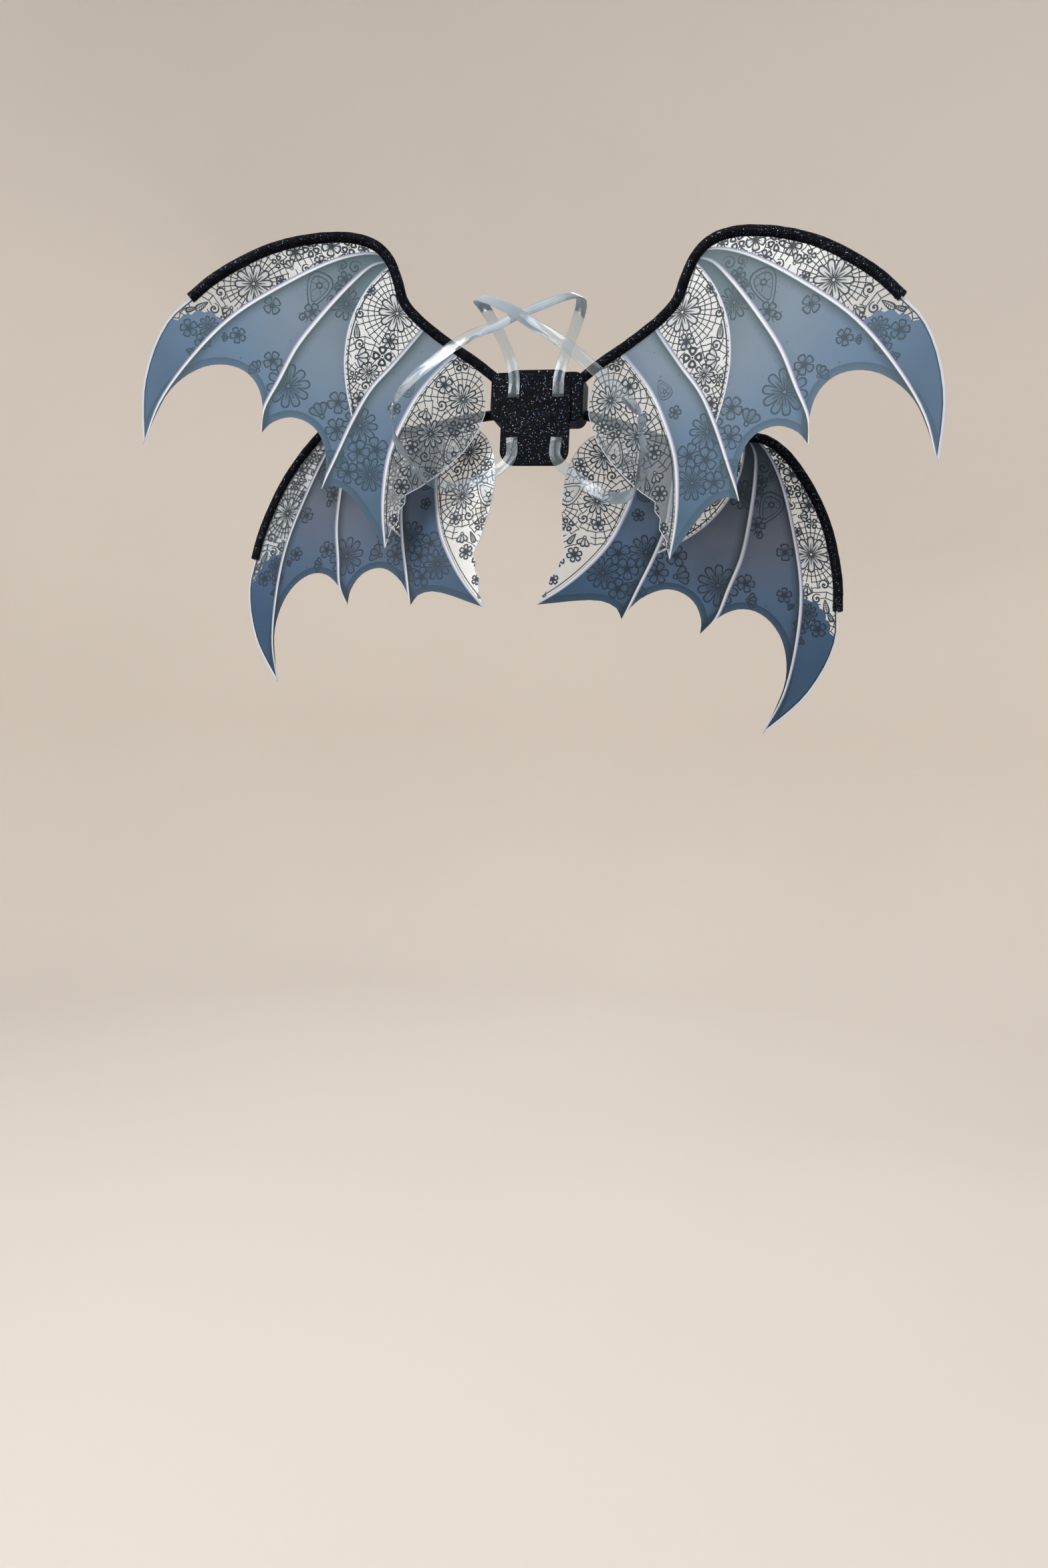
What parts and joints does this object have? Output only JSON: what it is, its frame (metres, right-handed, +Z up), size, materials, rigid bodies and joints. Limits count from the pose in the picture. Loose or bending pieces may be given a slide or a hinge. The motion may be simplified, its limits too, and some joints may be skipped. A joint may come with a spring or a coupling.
{
  "type": "costume dragon wings",
  "caption": "Costume dragon wings: lace-printed clear film on bent glitter-foam frames that plug into a back plate, worn with clear straps that cross on the chest.",
  "frame": {"origin": "centre of the back plate's front face, which lies against the wearer's back between the shoulder blades", "axes": "+X towards the wearer's left, +Y backwards, away from the wearer, +Z up"},
  "size_m": [1.0018, 0.2772, 0.6262],
  "materials": {
    "printed_film": "clear film printed in blue with lace",
    "glitter_tube": "black foam with glitter",
    "plate_foam": "black foam sheet with glitter",
    "clear_strap": "clear elastic strap",
    "slider_metal": "bright plated metal"
  },
  "bodies": {
    "root": {"back_plate": "plate_foam", "wing_film_upper_left": "printed_film", "wing_film_upper_right": "printed_film", "wing_film_lower_left": "printed_film", "wing_film_lower_right": "printed_film", "wing_tube_upper_left": "glitter_tube", "wing_tube_upper_right": "glitter_tube", "wing_tube_lower_left": "glitter_tube", "wing_tube_lower_right": "glitter_tube", "shoulder_strap_left": "clear_strap", "shoulder_strap_right": "clear_strap", "side_strap_left": "clear_strap", "side_strap_right": "clear_strap", "slider_left": "slider_metal", "slider_right": "slider_metal"}
  },
  "joints": []
}
